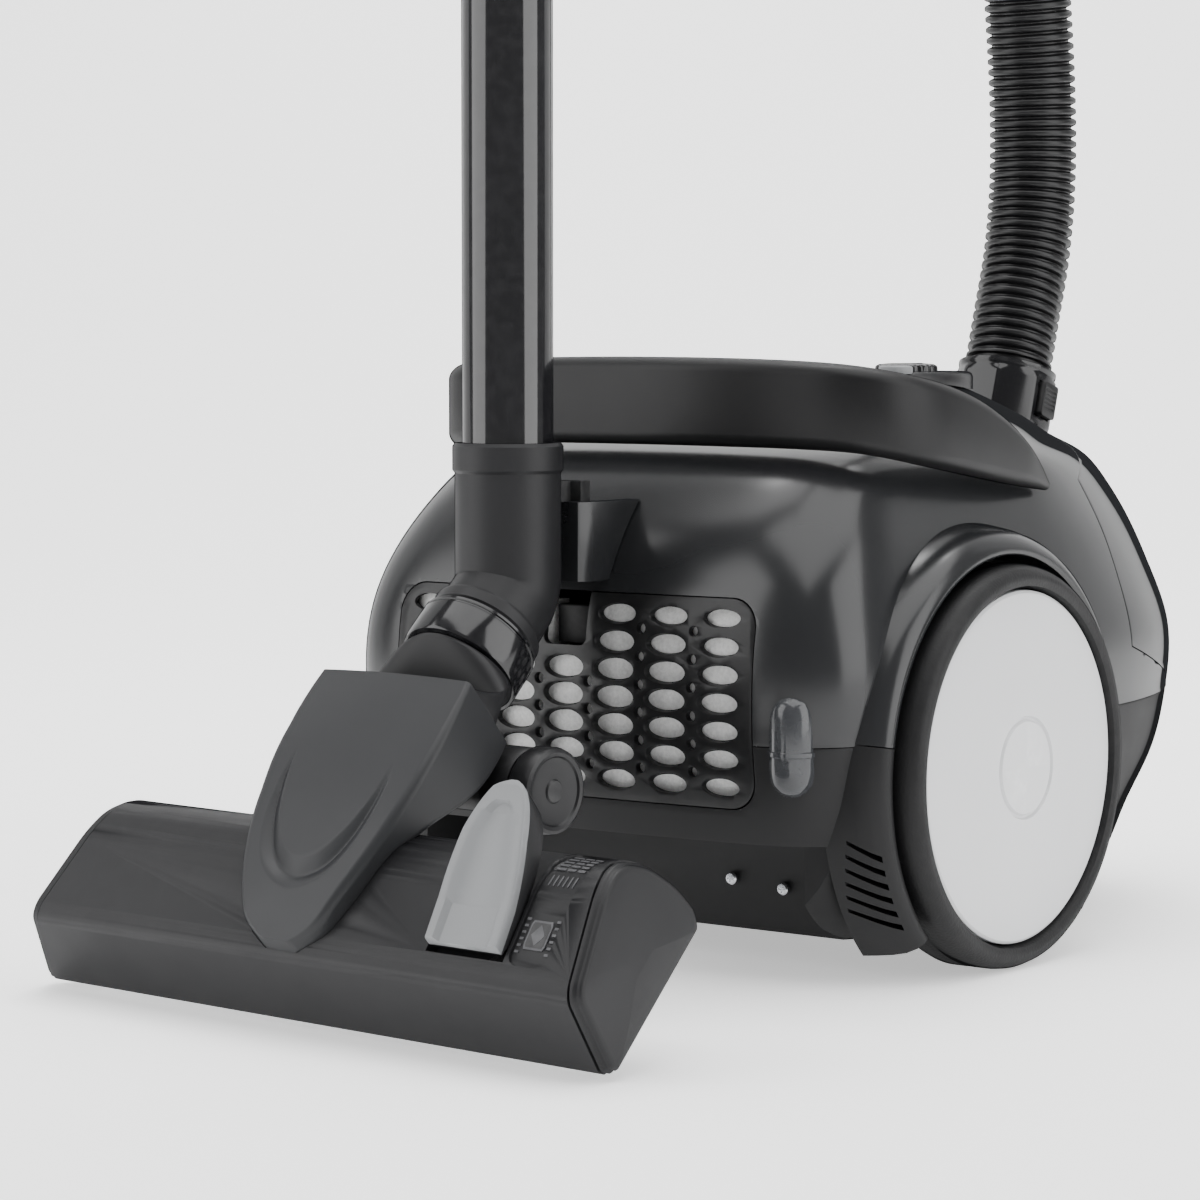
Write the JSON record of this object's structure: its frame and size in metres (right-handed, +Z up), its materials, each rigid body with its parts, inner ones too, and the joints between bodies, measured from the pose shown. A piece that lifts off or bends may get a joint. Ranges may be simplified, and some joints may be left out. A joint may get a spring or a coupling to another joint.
{
  "type": "canister vacuum cleaner",
  "caption": "Bagged canister vacuum cleaner with large side wheels, its wand parked upright at the rear, floor nozzle hanging from it and a ribbed hose arching over.",
  "frame": {"origin": "on the floor, under the middle of the whole object without its hose; the rear axle is 19 mm in front of it and the mid plane of the canister 1.7 mm to its left", "axes": "+Z up, +Y towards the front of the canister where the hose leaves, +X towards its right-hand wheel"},
  "size_m": [0.2959, 0.563, 1.0656],
  "materials": {
    "upper_gloss": "polished moulded plastic",
    "base_matte": "fine textured moulded plastic",
    "handle_matte": "soft matte plastic",
    "satin_dark": "satin plastic",
    "knob_black": "gloss plastic",
    "button_grey": "satin grey plastic",
    "lens": "smoked translucent plastic",
    "disc_silver": "silver paint on plastic, fine satin",
    "tyre": "soft rubber",
    "steel": "bright steel",
    "wand_black": "gloss black chrome",
    "filter": "white filter fleece",
    "bag": "brown filter paper",
    "inner_plastic": "plain moulded plastic",
    "board": "circuit board",
    "connector_black": "polished plastic",
    "latch_black": "matte plastic",
    "hose": "ribbed flexible plastic",
    "neck_matte": "matte plastic",
    "shield_satin": "satin plastic",
    "head_matte": "fine textured plastic",
    "pedal_grey": "satin grey plastic",
    "brush": "stiff bristle"
  },
  "bodies": {
    "canister": {"base_shell": "base_matte", "upper_housing": "upper_gloss", "exhaust_grille": "base_matte", "exhaust_filter": "filter", "corner_lens": "lens", "carry_handle": "handle_matte", "control_console": "satin_dark", "axle_left": "steel", "axle_right": "steel", "suction_motor": "steel", "reel_spindle": "satin_dark", "bulkhead": "inner_plastic", "motor_filter": "filter", "dust_bag": "bag", "control_board": "board", "screw_outer": "steel", "screw_inner": "steel", "inlet_collar": "satin_dark", "wand_lower_tube": "wand_black", "wand_lock_sleeve": "handle_matte", "neck_elbow": "neck_matte", "parking_hook": "neck_matte", "parking_socket": "upper_gloss", "hose": "hose"},
    "wheel_left": {"tyre_left": "tyre", "wheel_disc_left": "disc_silver"},
    "wheel_right": {"tyre_right": "tyre", "wheel_disc_right": "disc_silver"},
    "caster_swivel": {"caster_fork": "inner_plastic", "caster_axle": "steel"},
    "caster_roll": {"caster_wheel": "tyre"},
    "reel": {"cord_reel": "inner_plastic"},
    "front_cover": {"dust_lid": "upper_gloss"},
    "cover_latch": {"lid_latch": "satin_dark"},
    "power_switch": {"power_button": "button_grey"},
    "rewind_switch": {"rewind_button": "satin_dark"},
    "knob": {"power_knob": "knob_black"},
    "connector": {"hose_connector": "connector_black"},
    "latch_left": {"connector_latch_left": "latch_black"},
    "latch_right": {"connector_latch_right": "latch_black"},
    "wand_upper": {"wand_upper_tube": "steel", "grip_handle": "handle_matte"},
    "wand_lock": {"wand_lock_button": "handle_matte"},
    "air_valve": {"air_slider": "handle_matte"},
    "nozzle_neck": {"swivel_ring": "connector_black", "neck_knuckle": "neck_matte", "neck_base": "neck_matte", "neck_shield": "shield_satin"},
    "neck_roller_left": {"roller_left": "tyre"},
    "neck_roller_right": {"roller_right": "tyre"},
    "nozzle_head": {"nozzle_housing": "head_matte", "head_end_left": "satin_dark", "head_end_right": "satin_dark", "sole_plate": "steel"},
    "pedal": {"shoe_pedal": "pedal_grey"},
    "brushes": {"brush_front": "brush", "brush_rear": "brush"}
  },
  "joints": [
    {"name": "wheel_left_spin", "type": "hinge", "parent": "canister", "child": "wheel_left", "pos_m": [-0.1297, 0.019, 0.081], "axis": [1, 0, 0], "continuous": true},
    {"name": "wheel_right_spin", "type": "hinge", "parent": "canister", "child": "wheel_right", "pos_m": [0.1263, 0.019, 0.081], "axis": [1, 0, 0], "continuous": true},
    {"name": "caster_turn", "type": "hinge", "parent": "canister", "child": "caster_swivel", "pos_m": [-0.0017, 0.194, 0.045], "axis": [0, 0, 1], "continuous": true},
    {"name": "caster_spin", "type": "hinge", "parent": "caster_swivel", "child": "caster_roll", "pos_m": [-0.0017, 0.18, 0.017], "axis": [1, 0, 0], "continuous": true},
    {"name": "reel_spin", "type": "hinge", "parent": "canister", "child": "reel", "pos_m": [-0.0557, -0.001, 0.114], "axis": [1, 0, 0], "continuous": true},
    {"name": "cover_open", "type": "hinge", "parent": "canister", "child": "front_cover", "pos_m": [-0.0017, 0.285, 0.099], "axis": [-1, 0, 0], "range_deg": [0, 70]},
    {"name": "cover_latch_press", "type": "slide", "parent": "front_cover", "child": "cover_latch", "axis": [0, -1, 0], "range_m": [0, 0.002], "stiffness_N_per_m": 500, "springref_m": -0.002},
    {"name": "power_press", "type": "slide", "parent": "canister", "child": "power_switch", "axis": [0, 0, -1], "range_m": [0, 0.0014], "stiffness_N_per_m": 400, "springref_m": -0.001},
    {"name": "rewind_press", "type": "slide", "parent": "canister", "child": "rewind_switch", "axis": [0, 0, -1], "range_m": [0, 0.0014], "stiffness_N_per_m": 400, "springref_m": -0.001},
    {"name": "knob_turn", "type": "hinge", "parent": "canister", "child": "knob", "pos_m": [-0.0017, 0.149, 0.236], "axis": [0, 0, 1], "range_deg": [-135, 135]},
    {"name": "connector_swivel", "type": "hinge", "parent": "canister", "child": "connector", "pos_m": [-0.0017, 0.226, 0.2045], "axis": [0, 0.2924, 0.9563], "continuous": true},
    {"name": "latch_left_press", "type": "slide", "parent": "connector", "child": "latch_left", "axis": [1, 0, 0], "range_m": [0, 0.0015], "stiffness_N_per_m": 400, "springref_m": -0.001},
    {"name": "latch_right_press", "type": "slide", "parent": "connector", "child": "latch_right", "axis": [-1, 0, 0], "range_m": [0, 0.0015], "stiffness_N_per_m": 400, "springref_m": -0.001},
    {"name": "wand_extend", "type": "slide", "parent": "canister", "child": "wand_upper", "axis": [0, 0, 1], "range_m": [0, 0.3], "deforming": ["hose"]},
    {"name": "wand_lock_press", "type": "slide", "parent": "canister", "child": "wand_lock", "axis": [0, -1, 0], "range_m": [0, 0.0015], "stiffness_N_per_m": 400, "springref_m": -0.001},
    {"name": "air_valve_slide", "type": "slide", "parent": "wand_upper", "child": "air_valve", "axis": [0, 0, 1], "range_m": [0, 0.006]},
    {"name": "neck_swivel", "type": "hinge", "parent": "canister", "child": "nozzle_neck", "pos_m": [-0.0017, -0.135, 0.154], "axis": [0, -0.7314, -0.682], "range_deg": [-12, 12]},
    {"name": "roller_left_spin", "type": "hinge", "parent": "nozzle_neck", "child": "neck_roller_left", "pos_m": [0.00434, -0.17249, 0.0843], "axis": [0.9971, -0.0767, 0], "continuous": true},
    {"name": "roller_right_spin", "type": "hinge", "parent": "nozzle_neck", "child": "neck_roller_right", "pos_m": [0.00434, -0.17249, 0.0843], "axis": [0.9971, -0.0767, 0], "continuous": true},
    {"name": "head_tilt", "type": "hinge", "parent": "nozzle_neck", "child": "nozzle_head", "pos_m": [0.00434, -0.17249, 0.0843], "axis": [0.9971, -0.0767, 0], "range_deg": [0, 15]},
    {"name": "pedal_rock", "type": "hinge", "parent": "nozzle_head", "child": "pedal", "pos_m": [0.09145, -0.25269, 0.06472], "axis": [-0.9971, 0.0767, 0], "range_deg": [0, 8]},
    {"name": "brush_drop", "type": "slide", "parent": "nozzle_head", "child": "brushes", "axis": [0.0488, 0.6342, -0.7716], "range_m": [0, 0.004]}
  ],
  "couplings": [
    {"joint": "brush_drop", "follows": "pedal_rock", "m_per_rad": 0.02865}
  ]
}
